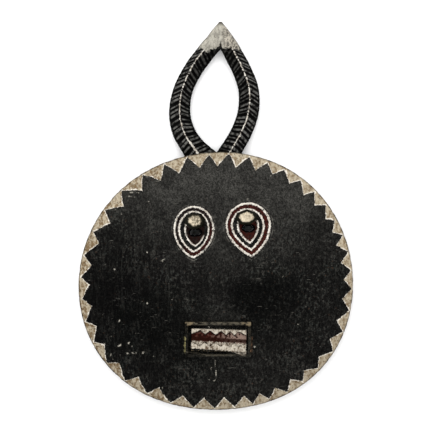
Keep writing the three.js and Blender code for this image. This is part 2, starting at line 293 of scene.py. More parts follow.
def rimLine():
    # angle of every grid column, and its share of the way out on the zigzag between dark face and teeth
    t = toothShape
    index = np.arange(t["count"])
    point = toothAngle(index)
    lean = np.radians(roundTheRim(t["darkTurn"], t["darkTurnWaves"], index))
    dark = (point + toothAngle(index + 1)) / 2 + lean
    pointShare = roundTheRim(t["point"], t["pointWaves"], index)
    darkShare = np.minimum(roundTheRim(t["dark"], t["darkWaves"], index), t["darkMost"])
    return rimColumns(point, dark, 2 * np.pi), rimColumns(pointShare, darkShare)


def eyeMiddle(eye, inset):
    # sideways place of a moved-in eye line, and the further drift at its point
    side = np.interp(inset, eyeProfile["rings"], eye["side"])
    tip = np.interp(inset, eyeProfile["rings"], eye["tip"])
    return eye["x"] + side, tip


def eyeInset(x, y, eye):
    # how far a point lies in from the eye's outline: bisection on the family of moved-in outlines,
    # an ellipse above the widest line and a curve drawn to a point below it
    dy = y - eye["y"]
    low = dy < 0
    power = np.where(low, 1 / eye["point"], 2.0)
    length = np.where(low, eye["down"], eye["up"])
    stretch = np.where(low, eyeProfile["stretch"], 1.0)
    near = np.full(np.shape(dy), -60.0)
    far = np.full(np.shape(dy), (eye["half"] - 0.3) / eye["ringScale"])
    for _ in range(28):
        middle = (near + far) / 2
        moved = middle * eye["ringScale"]
        along = np.abs(dy) / np.maximum(length - stretch * moved, 0.05)
        centre, tip = eyeMiddle(eye, middle)
        centre = centre + np.where(low, tip * np.minimum(along, 1) ** 2, 0)
        across = np.abs(x - centre) / (eye["half"] - moved)
        outside = across ** power + along ** 2 > 1
        far = np.where(outside, middle, far)
        near = np.where(outside, near, middle)
    return (near + far) / 2


def ellipseScale(x, y, ellipse):
    cx, cy, rx, ry = ellipse
    return np.hypot((x - cx) / rx, (y - cy) / ry)


def inHole(x, y):
    # inside one of the two sight holes, clear of the knob above it
    found = False
    for eye in eyeShapes:
        found = found | ((ellipseScale(x, y, eye["hole"]) < 1) & (ellipseScale(x, y, eye["knob"]) > 1.1))
    return found


def turned(x, y):
    # mouth plate coordinates: turned a little about the plate's middle
    left, right, bottom, top = mouthShape["plate"]
    cx, cy, a = (left + right) / 2, (bottom + top) / 2, rad(-mouthShape["plateTurn"])
    dx, dy = x - cx, y - cy
    return cx + dx * math.cos(a) - dy * math.sin(a), cy + dx * math.sin(a) + dy * math.cos(a)


def boxInset(x, y, box, corner):
    # distance inwards from the edge of a rounded rectangle, negative outside
    left, right, bottom, top = box
    qx = np.abs(x - (left + right) / 2) - ((right - left) / 2 - corner)
    qy = np.abs(y - (bottom + top) / 2) - ((top - bottom) / 2 - corner)
    outside = np.hypot(np.maximum(qx, 0), np.maximum(qy, 0))
    return corner - outside - np.minimum(np.maximum(qx, qy), 0)


def mouthRow(x, y, row):
    # distance into a row of pointed teeth, positive on the teeth, by the slope of its zigzag
    point, notch = row
    at = np.array(mouthShape["notches"])
    between = (at[1:] + at[:-1]) / 2
    knots = np.concatenate([[mouthShape["plate"][0]], np.stack([at[:-1], between], 1).ravel(),
                            [at[-1], mouthShape["plate"][1]]])
    level = np.where(np.arange(len(knots)) % 2 == 1, notch, point)
    edge = np.interp(x, knots, level)
    slope = math.cos(math.atan2(abs(point - notch), mouthShape["rowSlope"]))
    return (y - edge) * slope * (1 if notch > point else -1)


def facetOut(x, y, eye):
    # how far a point lies outside the flat top of a peg, by the furthest of the cuts round it
    fx, fy, rx, ry = eye["facet"]
    rng = np.random.default_rng(int(abs(fx)))
    out = -1.0
    for i in range(knobFacets["count"]):
        turn = rad(eye["facetTurn"]) + 2 * np.pi * (i + rng.uniform(-0.16, 0.16)) / knobFacets["count"]
        across = (x - fx) / rx * np.cos(turn) + (y - fy) / ry * np.sin(turn)
        out = np.maximum(out, across - rng.uniform(0.93, 1.07))
    return out * (rx + ry) / 2


def knobHeight(x, y, eye):
    # a tapered peg: height by share of its half width, cut by flat facets round a tilted top
    kx, ky = eye["knob"][:2]
    base = domeHeight(shareOf(kx, ky))
    k = ellipseScale(x, y, eye["knob"])
    height = np.interp(k, eyeProfile["knobScale"][::-1], eyeProfile["knobHeight"][::-1])
    top = eyeProfile["knobHeight"][-1] - knobFacets["lower"] + knobFacets["tilt"] * (ky - y)
    height = np.minimum(height, top + 0.25 * waves(x, y, 5, 17))
    return base + np.minimum(height, top - knobFacets["slope"] * facetOut(x, y, eye))


def softProfile(distance, inset, height, blur):
    # straight steps between the listed points, then softened over a short distance
    grid = np.arange(min(inset) - 2, max(inset) + 2, 0.05)
    reach = np.arange(-4 * blur, 4 * blur + 0.01, 0.05)
    weight = np.exp(-0.5 * (reach / blur) ** 2)
    soft = np.convolve(np.interp(grid, inset, height), weight / weight.sum(), mode="same")
    return np.interp(distance, grid[30:-30], soft[30:-30])


def scuffDepth(x, y):
    # how bare a scuff leaves the wood, falling to 0 just outside, by the distance in its own turned ellipse
    found = np.zeros(np.shape(x))
    for cx, cy, length, width, turn, pale in scuffs:
        a = rad(turn)
        dx, dy = x - cx, y - cy
        bend = 0.3 * waves(x, y, 7, 18)
        along = (dx * math.cos(a) + dy * math.sin(a)) / length
        across = (dy * math.cos(a) - dx * math.sin(a) + bend) / width
        found = np.maximum(found, pale * np.clip(1.5 - 1.25 * np.hypot(along, across), 0, 1))
    return found


def dustAndSheenAmount(x, y):
    # dust with painted sheen: sum of soft round patches, each falling off as a bell curve, over a thin even
    # layer
    total = 0.09 + 0 * x
    for cx, cy, reach, amount in dustAndSheenPatches:
        total = total + amount * np.exp(-((x - cx) ** 2 + (y - cy) ** 2) / (2 * reach ** 2))
    return np.clip(total, 0, 1)


def faceSurface(x, y):
    # height of the whole front: dome, hand-made swell, scuffs, eyes, knobs, sight holes and mouth
    share = shareOf(x, y)
    calm = np.clip((faceShape["fieldShare"] - share) / 0.1, 0, 1)
    z = domeHeight(share) + calm * faceShape["handSwell"] * waves(x, y, 70, 3)
    z = z + calm * faceShape["toolMarks"] * waves(x, y * 0.45, 9, 4) - 0.35 * scuffDepth(x, y)
    for eye in eyeShapes:
        inset = eyeInset(x, y, eye)
        wobble = 0.22 * waves(x, y, 9, 11)
        rise = softProfile(inset + wobble, eyeProfile["inset"], eyeProfile["height"], eyeProfile["round"])
        fade = np.where((inset > 12.5) & (y > eye["y"] + 4), 0.6, 1.0)
        z = z + np.where(inset > -3.5, rise * fade, 0)
        edge = np.interp(ellipseScale(x, y, eye["hole"]), *eyeProfile["holeEdge"])
        z = z - np.where(inset > 0, edge, 0)
        z = np.where(ellipseScale(x, y, eye["knob"]) < 1.08, np.maximum(z, knobHeight(x, y, eye)), z)
    m = mouthShape
    wander = 0.14 * waves(x, y, 14, 21)
    outer = boxInset(x, y, m["outer"], m["corner"]) + wander
    inner = boxInset(x, y, m["inner"], m["pocketCorner"]) + wander
    px, py = turned(x, y)
    plate = boxInset(px, py, m["plate"], m["plateCorner"]) + wander
    front = m["front"] + 0.3 * waves(x, y, 22, 22) - 0.5 * np.clip(waves(x, y, 8, 27) - 0.9, 0, 1)
    z = np.where(outer > m["wallStep"][0][0], z + (front - z) * np.interp(outer, *m["wallStep"]), z)
    # the groove round the plate is silted up at its lower right
    silted = smoothStep(15, 26, x) * smoothStep(-91, -95, y)
    depth = (front - m["floor"]) * (1 - m["silted"] * silted) + 0.35 * waves(x, y, 6, 26)
    z = np.where(inner > m["pocketStep"][0][0], front - depth * np.interp(inner, *m["pocketStep"]), z)
    row = np.maximum(mouthRow(px, py, m["upper"]), mouthRow(px, py, m["lower"])) + 0.35 * waves(x, y, 7, 23)
    teeth = np.interp(row, *m["toothStep"])
    top = m["plateFront"] + (m["teethFront"] - m["plateFront"]) * teeth + 0.22 * waves(x, y, 5, 24)
    rise = np.interp(plate, *m["plateStep"])
    onPlate = plate > m["plateStep"][0][0]
    return np.where(onPlate, np.maximum(z, m["floor"] + (top - m["floor"]) * rise), z)


def backSurface(x, y):
    # the hollow: underside of the dome at one wall's thickness, a steep foot, and long adze scoops
    share = shareOf(x, y)
    dome = domeHeight(share) - backShape["thickness"]
    z = np.where(share < backShape["wallShare"][0], dome,
                 np.interp(share, backShape["wallShare"], backShape["wallHeight"]))
    calm = np.clip((0.85 - share) / 0.08, 0, 1)
    lane = x / backShape["adzeWidth"] + 0.35 * waves(x, y, 90, 31)
    column = np.floor(lane)
    across = (lane - column) * 2 - 1
    step = y / backShape["adzeLength"] + 0.37 * column + 0.12 * waves(x, y, 60, 32)
    along = (step - np.floor(step)) * 2 - 1
    scoop = (1 - across ** 2) * (0.55 + 0.45 * (1 - along ** 2))
    return z + calm * (backShape["adzeDepth"] * scoop + 0.5 * waves(x, y, 55, 33))


def lineSpaced(points, spacing):
    # a closed line of points spaced evenly along its length, keeping the first
    closed = np.vstack([points, points[:1]])
    length = np.concatenate([[0], np.cumsum(np.hypot(*np.diff(closed, axis=0).T))])
    count = max(12, int(round(length[-1] / spacing)))
    at = np.arange(count) * length[-1] / count
    return np.stack([np.interp(at, length, closed[:, 0]), np.interp(at, length, closed[:, 1])], 1)


def eyeLine(eye, inset, spacing):
    # the eye's outline moved in by a distance, starting at its lower point
    turn = -np.pi / 2 + np.arange(1440) * 2 * np.pi / 1440
    side = np.cos(turn)
    rise = np.sin(turn)
    moved = inset * eye["ringScale"]
    half = eye["half"] - moved
    centre, tip = eyeMiddle(eye, inset)
    low = rise < 0
    width = np.where(low, np.sign(side) * np.abs(side) ** (2 * eye["point"]), side)
    x = centre + half * width + np.where(low, tip * rise ** 2, 0)
    drop = (eye["down"] - eyeProfile["stretch"] * moved) * rise
    return lineSpaced(np.stack([x, eye["y"] + np.where(low, drop, (eye["up"] - moved) * rise)], 1), spacing)


def ellipseLine(ellipse, scale, spacing):
    cx, cy, rx, ry = ellipse
    turn = np.arange(720) * 2 * np.pi / 720
    return lineSpaced(np.stack([cx + scale * rx * np.cos(turn), cy + scale * ry * np.sin(turn)], 1), spacing)


def holeLine(eye):
    # the sight hole's ellipse, kept clear of the knob's foot
    line = ellipseLine(eye["hole"], 1.0, eyeProfile["holeSpacing"])
    middle = np.array(eye["knob"][:2])
    push = np.maximum(1.101 / ellipseScale(*line.T, eye["knob"]), 1.0)[:, None]
    return middle + (line - middle) * push


def boxLine(box, corner, inset, spacing):
    # a rounded rectangle moved in by a distance
    left, right, bottom, top = box
    r = max(corner - inset, 0.02)
    half = np.array([(right - left) / 2 - inset - r, (top - bottom) / 2 - inset - r])
    middle = np.array([(left + right) / 2, (bottom + top) / 2])
    corners = []
    for sx, sy, start in [(1, 1, 0), (-1, 1, 90), (-1, -1, 180), (1, -1, 270)]:
        turn = np.radians(start + np.linspace(0, 90, 7))
        corners.append(middle + half * [sx, sy] + r * np.stack([np.cos(turn), np.sin(turn)], 1))
    return lineSpaced(np.vstack(corners), spacing)


def plateLine(inset, spacing):
    # the mouth plate's outline, turned into place
    left, right, bottom, top = mouthShape["plate"]
    line = boxLine(mouthShape["plate"], mouthShape["plateCorner"], inset, spacing)
    line = line - [(left + right) / 2, (bottom + top) / 2]
    a = rad(mouthShape["plateTurn"])
    spin = np.array([[math.cos(a), math.sin(a)], [-math.sin(a), math.cos(a)]])
    return line @ spin + [(left + right) / 2, (bottom + top) / 2]


def lattice(box, spacing, seed):
    # points in staggered rows with a little scatter
    left, right, bottom, top = box
    rows = np.arange(bottom, top, spacing * math.sqrt(0.75))
    columns = np.arange(left, right, spacing)
    x, y = np.meshgrid(columns, rows)
    x = x + (np.arange(len(rows)) % 2)[:, None] * spacing / 2
    points = np.stack([x.ravel(), y.ravel()], 1)
    return points + np.random.default_rng(seed).uniform(-0.12, 0.12, points.shape) * spacing


class Plan:
    # lines and loose points of one surface seen from above, then joined into triangles

    def __init__(self):
        self.points = []
        self.edges = []
        self.count = 0

    def line(self, points, keep=None):
        keep = np.ones(len(points), bool) if keep is None else keep
        number = np.where(keep, self.count + np.cumsum(keep) - 1, -1)
        pair = np.stack([number, np.roll(number, -1)], 1)
        self.edges.append(pair[(pair >= 0).all(1)])
        self.loose(points[keep])

    def loose(self, points):
        self.points.append(points)
        self.count += len(points)

    def triangles(self):
        points = np.vstack(self.points)
        edges = np.vstack(self.edges)
        made, _, faces, origin, _, _ = delaunay_2d_cdt(points.tolist(), edges.tolist(), [], 0, 1e-5)
        made = np.array([p[:] for p in made])
        source = np.array([o[0] if o else -1 for o in origin])
        made[source >= 0] = points[source[source >= 0]]
        faces = np.array(faces)
        middle = made[faces].mean(1)
        return made, faces[~inHole(*middle.T)]


def planEye(plan, eye):
    # lines that follow the rings, the hole and the knob, and fine points between them
    knob, hole = eye["knob"], eye["hole"]
    for inset in eyeProfile["rows"]:
        line = eyeLine(eye, inset, eyeProfile["spacing"])
        plan.line(line, (ellipseScale(*line.T, knob) > 1.16) & (ellipseScale(*line.T, hole) > 1.36))
    inside = lattice((eye["x"] - 20, eye["x"] + 20, eye["y"] - 30, eye["y"] + 20), 1.0, 41)
    x, y = inside.T
    clear = (ellipseScale(x, y, knob) > 1.18) & (ellipseScale(x, y, hole) > 1.38)
    plan.loose(inside[(eyeInset(x, y, eye) > eyeProfile["rows"][-1] + 0.6) & clear])
    for scale in [1.12, 1.28]:
        line = ellipseLine(hole, scale, eyeProfile["holeSpacing"])
        plan.line(line, ellipseScale(*line.T, knob) > 1.16)
    plan.line(holeLine(eye))
    for scale in eyeProfile["knobRows"]:
        line = ellipseLine(knob, scale, 0.9 if scale > 0.7 else 1.2)
        keep = ellipseScale(*line.T, hole) > (1.16 if scale > 1.1 else 0)
        plan.line(line, keep)
    plan.loose(np.array([knob[:2]]))


def planMouth(plan):
    # lines along every step of the frame and the plate, and fine points on the teeth
    m = mouthShape
    for inset in [-2.6, -1.2, -0.5] + m["wallStep"][0]:
        plan.line(boxLine(m["outer"], m["corner"], inset, m["spacing"]))
    for inset in m["pocketStep"][0]:
        plan.line(boxLine(m["inner"], m["pocketCorner"], inset, m["spacing"]))
    for inset in m["plateStep"][0]:
        plan.line(plateLine(inset, m["plateSpacing"]))
    fine = lattice(m["inner"], m["toothSpacing"], 43)
    inPlate = boxInset(*turned(*fine.T), m["plate"], m["plateCorner"])
    inPocket = boxInset(*fine.T, m["inner"], m["pocketCorner"])
    plan.loose(fine[(inPlate > 2.0) | ((inPlate < -0.9) & (inPocket > 1.4))])


def planFront():
    # the front inside the toothed band: eyes, mouth and scuffs finely, the rest by a lattice
    plan = Plan()
    plan.line(circuit(rimLine()[0], faceShape["fieldShare"]))
    for eye in eyeShapes:
        planEye(plan, eye)
    planMouth(plan)
    field = lattice(faceShape["square"], faceShape["fieldSpacing"], 44)
    fine = lattice(faceShape["square"], faceShape["scuffSpacing"], 45)
    field = np.vstack([field[scuffDepth(*field.T) == 0], fine[scuffDepth(*fine.T) > 0.02]])
    x, y = field.T
    keep = shareOf(x, y) < faceShape["fieldShare"] - 0.006
    keep &= boxInset(x, y, mouthShape["outer"], mouthShape["corner"]) < -3.6
    for eye in eyeShapes:
        keep &= eyeInset(x, y, eye) < -4.4
    plan.loose(field[keep])
    return plan


def bandGrid():
    # rows across the toothed band and down the side: dark face, cut edge, sloping floor, rim edge, side
    t = toothShape
    turn, zigzag = rimLine()
    radius = outlineRadius(turn)
    x0, y0 = np.cos(turn) * radius, np.sin(turn) * radius
    inPoint = np.clip((t["darkMost"] - zigzag) / 0.02, 0, 1)
    zigzag = zigzag + 0.0022 * waves(x0, y0, 8, 51) * inPoint
    rimTop = domeHeight(1.0) - t["edgeDrop"]
    start = faceShape["fieldShare"]
    rows = []
    for part in [0, 0.18, 0.36, 0.52, 0.66, 0.78, 0.88, 0.95]:
        share = start + (zigzag - 0.002 - start) * part
        rows.append((share, domeHeight(share)))
    for step, drop in [(-0.002, 0.0), (0.0, 0.2), (t["cutWidth"] / 2, 0.72), (t["cutWidth"], 1.0)]:
        share = np.minimum(zigzag + step, t["cutEnd"])
        low = np.maximum(domeHeight(share) - t["cut"], rimTop)
        rows.append((share, domeHeight(share) + (low - domeHeight(share)) * drop))
    foot = np.minimum(zigzag + t["cutWidth"], t["cutEnd"])
    footZ = np.maximum(domeHeight(foot) - t["cut"], rimTop)
    for part in [0.12, 0.28, 0.46, 0.64, 0.82, 1.0]:
        share = foot + (t["floorEnd"] - foot) * part
        scoop = 0.35 * np.sin(np.pi * part) * np.clip((0.99 - foot) / 0.05, 0, 1)
        rows.append((share, footZ + (rimTop - footZ) * part - scoop))
    for share, z in [(0.998, rimTop - 0.25), (0.9993, rimTop - 0.7), (1.0, rimTop - 1.4), (0.999, 21.5),
                     (0.9975, 18), (0.996, 14.5), (0.994, 11), (0.991, 7.5), (0.988, 4.5), (0.985, 2.0),
                     (0.981, 0.6), (0.975, 0.0), (0.95, 0.0), (0.92, 0.0), (0.895, 0.0)]:
        rows.append((np.full_like(turn, share), np.full_like(turn, z)))
    share = np.stack([row[0] for row in rows])
    z = np.stack([row[1] for row in rows])
    onSide = (share > 0.9975) | ((z < 23.7) & (z > 1.5))
    arc = turn * faceShape["radius"]
    cuts = 0.35 * np.minimum(waves(arc, 0 * arc, 16, 52), 0) + 0 * z
    chips = 0.9 * np.clip(waves(arc, z * 1.5, 7, 54) - 1.1, 0, 1) * smoothStep(19, 25, z)
    factor = 1 + onSide * (cuts - chips) / 186   # in shares of a mean radius
    x, y = share * x0 * factor, share * y0 * factor
    onFront = smoothStep(start, 0.9, share) * (z > 23)
    z = z + 0.10 * waves(x, y, 6, 53) * onFront
    # distance into the pale teeth, square to the zigzag
    run = np.gradient(np.unwrap(turn)) * radius
    slope = np.gradient(zigzag * radius) / run
    slope = np.maximum(np.abs(slope), np.abs(np.roll(slope, 1)))
    inTooth = (share - zigzag) * radius / np.sqrt(1 + slope ** 2)
    tuck = np.where(z < rimTop - 0.3, (rimTop - z), 0)
    return x, y, z, np.clip(inTooth, -12, 12), (1 - share) * radius + tuck


def gridFaces(rows, columns):
    # squares of a grid whose rows are closed rings, each split in two
    i = np.arange(rows - 1)[:, None]
    j = np.arange(columns)[None]
    a = i * columns + j
    b = i * columns + (j + 1) % columns
    quads = np.stack([a, b, b + columns, a + columns], -1).reshape(-1, 4)
    return np.vstack([quads[:, [0, 1, 2]], quads[:, [0, 2, 3]]])


def smoothCurve(points, t):
    # a smooth curve through the listed points, t from 0 to 1, by the usual cubic of four neighbours
    p = np.asarray(points, float)
    p = np.vstack([2 * p[0] - p[1], p, 2 * p[-1] - p[-2]])
    at = np.clip(t, 0, 1) * (len(points) - 1)
    i = np.minimum(at.astype(int), len(points) - 2)
    f = (at - i)[..., None]
    a, b, c, d = p[i], p[i + 1], p[i + 2], p[i + 3]
    bend = (2 * a - 5 * b + 4 * c - d) * f ** 2 + (3 * b - a - 3 * c + d) * f ** 3
    return 0.5 * (2 * b + (c - a) * f + bend)


def hornStations(total, seed):
    # distances along a horn: bare foot, six rows to a barb, smooth cap; and how deep each row is cut
    h = hornShape
    barbsTo = total - h["capLength"] + 6
    count = int(round((barbsTo - h["barbsFrom"]) / h["barbPitch"]))
    pitch = (barbsTo - h["barbsFrom"]) / count
    steps = np.arange(6 * count + 1) / 6
    uneven = 0.13 * np.sin(steps * 1.9 + seed) + 0.09 * np.sin(steps * 4.3 + 2 * seed)
    barbs = h["barbsFrom"] + pitch * (steps + uneven * np.clip((count - steps) / 2, 0, 1))
    foot = np.linspace(2, h["barbsFrom"], 8)[:-1]
    cap = barbsTo + (total - barbsTo) * np.linspace(0, 1, 27)[1:] ** 0.94
    cut = 1 - np.interp(steps % 1, [0, 0.17, 0.34, 0.67, 0.84, 1.0], [1, 0.85, 0, 0, 0.85, 1])
    cut[-1] = 0
    deep = 0.8 + 0.35 * np.sin(np.floor(steps) * 2.7 + seed)
    return np.concatenate([foot, barbs, cap]), np.concatenate([0 * foot, cut * deep, 0 * cap]), barbsTo


def hornGrid(which):
    # rings across the horn that lean back from the crest, with a groove between every two barbs:
    # height is edge plus a rise that falls off with a power of the way from crest to side
    h = hornShape
    line = h["lines"][which]
    inner = 1 if which == 0 else -1
    fine = np.linspace(0, 1, 1200)
    path = smoothCurve(line, fine)
    length = np.concatenate([[0], np.cumsum(np.hypot(*np.diff(path[:, :2], axis=0).T))])
    total = length[-1]
    at, cut, barbsTo = hornStations(total, which + 1)
    half = np.array([0.04, 0.08, 0.13, 0.2, 0.3, 0.42, 0.55, 0.68, 0.8, 0.9, 0.97, 1])
    front = np.concatenate([-half[::-1], [0], half])
    back = np.array([1.0, 0.93, 0.8, 0.55, 0, -0.55, -0.8, -0.93, -1.0])
    backDrop = np.array([0.42, 0.72, 0.93, 1.0, 1.0, 1.0, 0.93, 0.72, 0.42])
    across = np.concatenate([front, back])[None]
    n = len(front)
    crest = h["spine"][which] * smoothStep(total - 140, total - 50, at)[:, None]
    crest = crest * (1 - smoothStep(total - 36, total - 16, at)[:, None])
    share = np.where(np.arange(across.size) < n, crest + across * (1 - crest * np.sign(across)), across)
    height = smoothCurve(line, np.interp(at, length, fine))[:, 1][:, None]
    outerLean, innerLean = [np.interp(height, h["barbLean"][0], side) for side in h["barbLean"][1:]]
    lean = np.where(across * inner > 0, innerLean, outerLean)
    lean = lean * np.clip((total - at) / h["capLength"], 0, 1)[:, None]
    place = np.clip(at[:, None] - lean * np.abs(across), 0, total)
    spot, ahead, behind = [smoothCurve(line, np.interp(np.clip(place + step, 0, total), length, fine))
                           for step in (0, 0.5, -0.5)]
    along = (ahead - behind)[..., :2]
    along = along / np.linalg.norm(along, axis=-1, keepdims=True)
    width = spot[..., 2]
    joinAt = total - h["capLength"]
    overlap = h["capOverlap"] * smoothStep(joinAt + 6, joinAt + 18, at)[:, None]
    joined = np.where(share * inner > 0, overlap, 0)
    nick = 1 - 0.014 * cut[:, None] * (np.abs(across) > 0.95)
    offset = (width + joined) * share * nick
    x = spot[..., 0] + along[..., 1] * offset
    y = spot[..., 1] - along[..., 0] * offset
    # the buried foot keeps to the rim's solid wood, clear of the hollow
    share0 = shareOf(x, y)
    tuck = np.where(share0 < h["footShare"], 1 + 0.95 * (h["footShare"] / share0 - 1), 1)
    x, y = x * tuck, y * tuck
    squeeze = 0.45 + 0.55 * np.minimum(1, width / 12)
    flat = smoothStep(joinAt - 2, joinAt + 14, at)[:, None] * (across[:, :n] * inner > 0)
    fall = np.abs(across[:, :n]) ** h["roofPower"] * (1 - 0.86 * flat)
    roof = h["edge"] + (h["crest"] - h["edge"]) * (1 - fall)
    groove = np.interp(np.abs(front), [0.05, 0.13, 0.3, 0.9, 1.0], [0, 0.6, 1.0, 1.0, 0.8])
    uneven = 1 + 0.25 * waves(x, y, 11, 61)[:, :n]
    onBarbs = np.clip((barbsTo - at) / 4, 0, 1)[:, None]
    bead = np.interp(np.abs(front), [0, 0.08, 0.13, 0.2, 0.5], [0.55, 0.45, 0.0, -0.2, 0]) * onBarbs
    z = np.empty_like(x)
    z[:, :n] = roof - h["barbDepth"] * cut[:, None] * groove * uneven + bead
    z[:, n:] = h["edge"] - (h["edge"] - h["back"]) * backDrop
    z = h["middle"] + (z - h["middle"]) * squeeze + 0.12 * waves(x, y, 10, 62)
    capIn = y - np.interp(x, *h["capLine"])
    spineOff = np.abs(across) * width + 20 * (np.arange(across.size) >= n)
    cut = np.clip(cut[:, None] + 0 * x, 0, 1.2)
    return x, y, z, {"cut": cut, "capIn": capIn, "spineOff": spineOff, "inner": inner * across + 0 * x}


class Shell:
    # parts of the mask gathered into one mesh, each with its material and its painted measures

    def __init__(self, measures):
        self.measures = measures
        self.points, self.faces, self.kinds = [], [], []
        self.values = {name: [] for name in measures}
        self.count = 0

    def add(self, points, faces, kind, **values):
        self.points.append(points)
        self.faces.append(faces + self.count)
        self.kinds.append(np.broadcast_to(kind, len(faces)))
        for name, usual in self.measures.items():
            self.values[name].append(np.broadcast_to(values.get(name, usual), len(points)))
        self.count += len(points)

    def addGrid(self, x, y, z, kind, inward=False, ends=False, **values):
        # a grid of closed rings, with both ends drawn together to a point where they are to be closed
        rows, columns = x.shape
        points = np.stack([x, y, z], -1).reshape(-1, 3)
        faces = gridFaces(rows, columns)
        values = {name: value.ravel() for name, value in values.items()}
        if ends:
            j = np.arange(columns)
            k = (j + 1) % columns
            last = (rows - 1) * columns
            foot = np.stack([0 * j + len(points), k, j], 1)
            tip = np.stack([0 * j + len(points) + 1, last + j, last + k], 1)
            faces = np.vstack([faces, foot, tip])
            points = np.vstack([points, points[:columns].mean(0), points[-columns:].mean(0)])
            values = {name: np.append(value, [value[:columns].mean(), value[-columns:].mean()])
                      for name, value in values.items()}
        if inward:
            faces = faces[:, ::-1]
        if not isinstance(kind, int):
            kind = np.tile(np.repeat(kind, columns), 2)
        self.add(points, faces, kind, **values)

    def meshObject(self, name, materials):
        # merges points that coincide, places them in the frame and makes the mesh
        points = np.vstack(self.points)
        key = np.round(points * 1e4).astype(np.int64)
        _, first, inverse = np.unique(key, axis=0, return_index=True, return_inverse=True)
        faces = inverse.ravel()[np.vstack(self.faces)]
        whole = (faces != np.roll(faces, 1, 1)).all(1)
        faces = faces[whole]
        points = points[first]
        mesh = bpy.data.meshes.new(name)
        mesh.from_pydata(placeInFrame(points), [], faces)
        for material in materials:
            mesh.materials.append(material)
        mesh.polygons.foreach_set("material_index", np.concatenate(self.kinds)[whole].astype(np.int32))
        measures = {label: np.concatenate(values)[first] for label, values in self.values.items()}
        for label, values in {**measures, "edge": bulge(points, faces)}.items():
            layer = mesh.attributes.new(label, "FLOAT", "POINT")
            layer.data.foreach_set("value", values.astype(np.float32))
        mesh.shade_smooth()
        mesh.set_sharp_from_angle(angle=rad(40))
        piece = bpy.data.objects.new(name, mesh)
        bpy.context.collection.objects.link(piece)
        return piece


def bulge(points, faces):
    # how far a point stands out from its neighbours, per millimetre: positive on arrises, negative in corners
    a, b, c = points[faces[:, 0]], points[faces[:, 1]], points[faces[:, 2]]
    faceNormal = np.cross(b - a, c - a)
    corners = faces.ravel()
    normal = np.stack([np.bincount(corners, np.repeat(part, 3), len(points)) for part in faceNormal.T], 1)
    normal /= np.maximum(np.linalg.norm(normal, axis=1, keepdims=True), 1e-9)
    one = faces[:, [0, 1, 2, 1, 2, 0]].ravel()
    two = faces[:, [1, 2, 0, 0, 1, 2]].ravel()
    apart = points[two] - points[one]
    lean = -(apart * normal[one]).sum(1) / np.maximum(np.linalg.norm(apart, axis=1), 0.05)
    count = np.maximum(np.bincount(one, minlength=len(points)), 1)
    value = np.bincount(one, lean, len(points)) / count
    return 0.5 * value + 0.5 * np.bincount(one, value[two], len(points)) / count


def placeInFrame(points):
    # the lowest point of the outline rests on the frame's lower edge, and both stand on the same middle line
    turn = np.radians(np.arange(0, 360, 0.25))
    radius = outlineRadius(turn)
    low, high = cadBox
    shiftX = 500 * (low.x + high.x) - (max(radius * np.cos(turn)) + min(radius * np.cos(turn))) / 2
    shiftY = 1000 * low.y - min(radius * np.sin(turn))
    return (points + np.array([shiftX, shiftY, 0])) * 0.001


kinds = {"face": 0, "eyes": 1, "mouth": 2, "horns": 3, "back": 4}


def addFront(shell):
    # the dome with its eyes and mouth, inside the toothed band
    print("mask: front")
    xy, faces = planFront().triangles()
    x, y = xy.T
    z = faceSurface(x, y)
    z[shareOf(x, y) > faceShape["fieldShare"] - 0.0005] = domeHeight(faceShape["fieldShare"])
    px, py = turned(x, y)
    measures = {
        "eyeIn": np.maximum(*[eyeInset(x, y, eye) for eye in eyeShapes]),
        "knobIn": np.maximum(*[0.4 - facetOut(x, y, eye) for eye in eyeShapes]),
        "holeIn": np.maximum(*[(1.3 - ellipseScale(x, y, eye["hole"])) * 6 for eye in eyeShapes]),
        "frameIn": boxInset(x, y, mouthShape["outer"], mouthShape["corner"]),
        "plateIn": boxInset(px, py, mouthShape["plate"], mouthShape["plateCorner"]),
        "rowIn": np.maximum(mouthRow(px, py, mouthShape["upper"]), mouthRow(px, py, mouthShape["lower"])),
        "scuff": scuffDepth(x, y),
        "dust": dustAndSheenAmount(x, y),
    }
    kind = np.full(len(faces), kinds["face"])
    kind[(measures["eyeIn"][faces] > -3.6).all(1)] = kinds["eyes"]
    kind[(measures["frameIn"][faces] > -2.7).all(1)] = kinds["mouth"]
    shell.add(np.column_stack([xy, z]), faces, kind, **measures)


def addRim(shell):
    # the toothed band and the side; gives back its last ring, where the hollow starts
    print("mask: toothed rim and side")
    x, y, z, inTooth, rimOff = bandGrid()
    kind = np.where(z[:-1, 0] < 0.3, kinds["back"], kinds["face"])
    shell.addGrid(x, y, z, kind, inward=True, inTooth=inTooth, rimOff=rimOff, scuff=scuffDepth(x, y),
                  dust=dustAndSheenAmount(x, y))
    return np.stack([x[-1], y[-1]], 1)


def addBack(shell, ring):
    # the hollow, and the walls of the sight holes from front to back
    print("mask: back")
    plan = Plan()
    plan.line(ring)
    turn = np.arange(backShape["wallColumns"]) * 2 * np.pi / backShape["wallColumns"]
    for share in backShape["wallRows"]:
        plan.line(circuit(turn, share))
    loose = lattice(faceShape["square"], backShape["spacing"], 71)
    keep = shareOf(*loose.T) < 0.805
    for eye in eyeShapes:
        plan.line(holeLine(eye))
        keep &= ellipseScale(*loose.T, eye["hole"]) > 1.4
    plan.loose(loose[keep])
    xy, faces = plan.triangles()
    z = backSurface(*xy.T)
    z[shareOf(*xy.T) > 0.8945] = 0.0
    shell.add(np.column_stack([xy, z]), faces[:, ::-1], kinds["back"])
    for eye in eyeShapes:
        x, y = holeLine(eye).T
        top = faceSurface(x, y)
        z = top + (backSurface(x, y) - top) * np.linspace(0, 1, 7)[:, None]
        none = 0 * z
        shell.addGrid(x + none, y + none, z, kinds["eyes"], eyeIn=none + 19, holeIn=none + 2)


